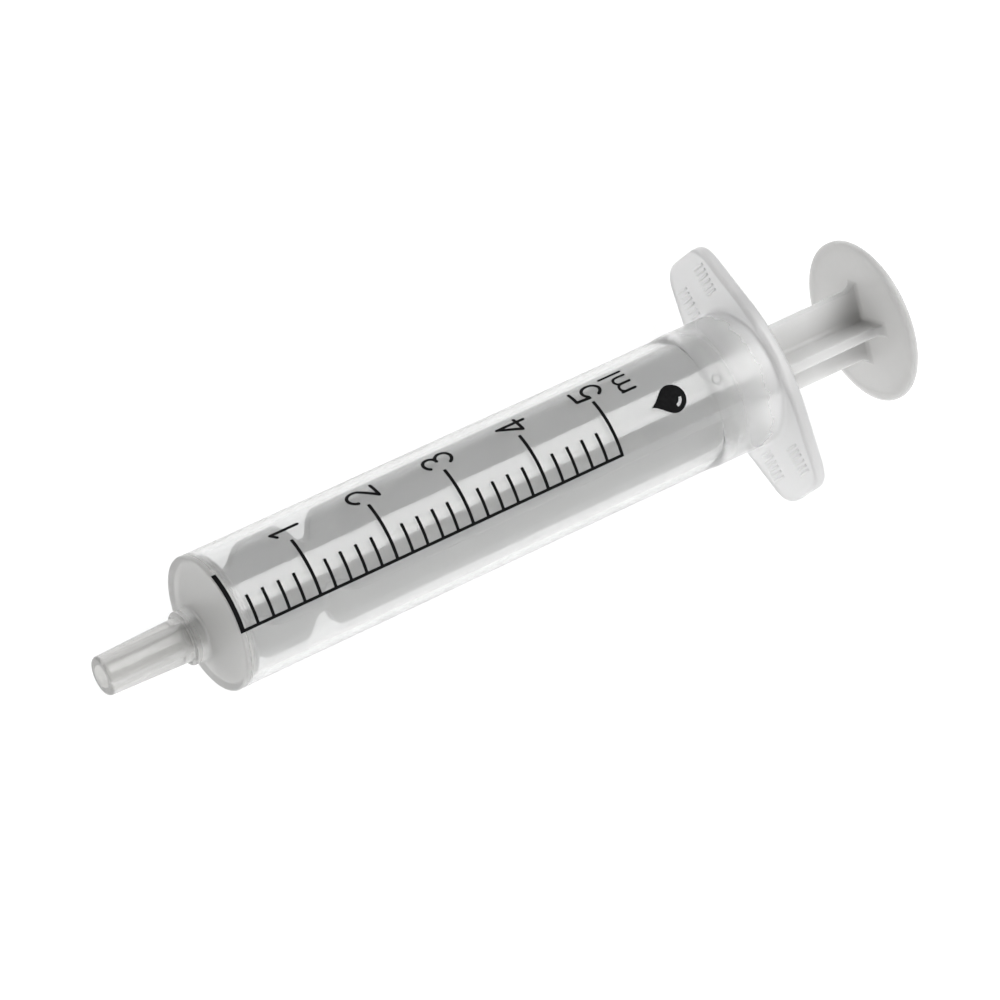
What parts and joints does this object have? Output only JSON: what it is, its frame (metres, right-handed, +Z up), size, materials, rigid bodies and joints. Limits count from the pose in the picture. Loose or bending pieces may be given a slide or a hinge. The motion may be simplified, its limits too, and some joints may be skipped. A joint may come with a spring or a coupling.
{
  "type": "oral syringe",
  "caption": "Clear two-piece dosing syringe with a printed millilitre scale, finger flange, off-centre slip nozzle and a sliding ribbed plunger.",
  "frame": {"origin": "on the resting surface, under the middle of the syringe's length", "axes": "+X along the axis from the nozzle to the thumb rest, +Y along the finger flange's wings, +Z up, on the side that carries the scale, away from the off-centre nozzle"},
  "size_m": [0.0876, 0.0262, 0.0168],
  "materials": {
    "clear_plastic": "clear moulded polypropylene, glossy",
    "milky_plastic": "milky moulded polyethylene, satin",
    "black_ink": "printed black ink, satin"
  },
  "bodies": {
    "barrel": {"barrel": "clear_plastic", "scale_ladder": "black_ink", "numeral_1": "black_ink", "numeral_2": "black_ink", "numeral_3": "black_ink", "numeral_4": "black_ink", "numeral_5": "black_ink", "unit_m": "black_ink", "unit_l": "black_ink", "drop_mark": "black_ink"},
    "plunger": {"plunger": "milky_plastic"}
  },
  "joints": [
    {"name": "plunger_slide", "type": "slide", "parent": "barrel", "child": "plunger", "axis": [1, 0, 0], "range_m": [0, 0.0532]}
  ]
}
